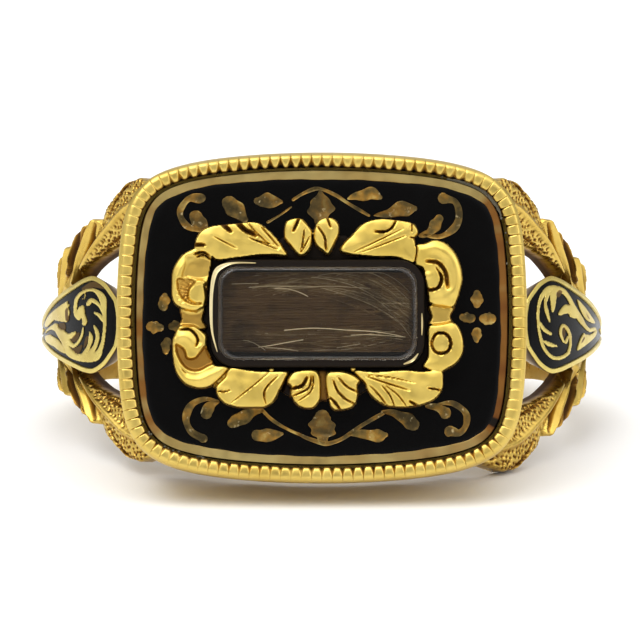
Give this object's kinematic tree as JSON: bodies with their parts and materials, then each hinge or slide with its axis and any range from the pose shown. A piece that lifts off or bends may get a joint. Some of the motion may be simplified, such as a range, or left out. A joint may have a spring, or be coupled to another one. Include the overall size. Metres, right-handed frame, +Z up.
{
  "type": "mourning ring",
  "caption": "Gold finger ring with a cushion-shaped black enamel head, a carved scroll frame round a glazed hair compartment, and split leaf shoulders with enamel panels.",
  "frame": {"origin": "centre of the footprint, on the surface the ring lies on", "axes": "+Z up from the surface; -Y is the side the head faces, leaning up with the ring as it lies on its side; +X is to the right seen from the head"},
  "size_m": [0.022, 0.0243, 0.013],
  "materials": {
    "band_gold": "polished gold, worn on the high points, darker in the recesses",
    "plaque_gold": "worn gold with a brown tarnish",
    "frame_gold": "bright cast and chased gold",
    "black_enamel": "glossy black enamel",
    "crystal_glass": "clear bevelled glass",
    "hair_strands": "combed grey-brown hair"
  },
  "bodies": {
    "root": {"band": "band_gold", "plaque": "plaque_gold", "field_enamel": "black_enamel", "scroll_frame": "frame_gold", "crystal": "crystal_glass", "hair": "hair_strands", "shoulder_enamel_right": "black_enamel", "shoulder_enamel_left": "black_enamel"}
  },
  "joints": []
}
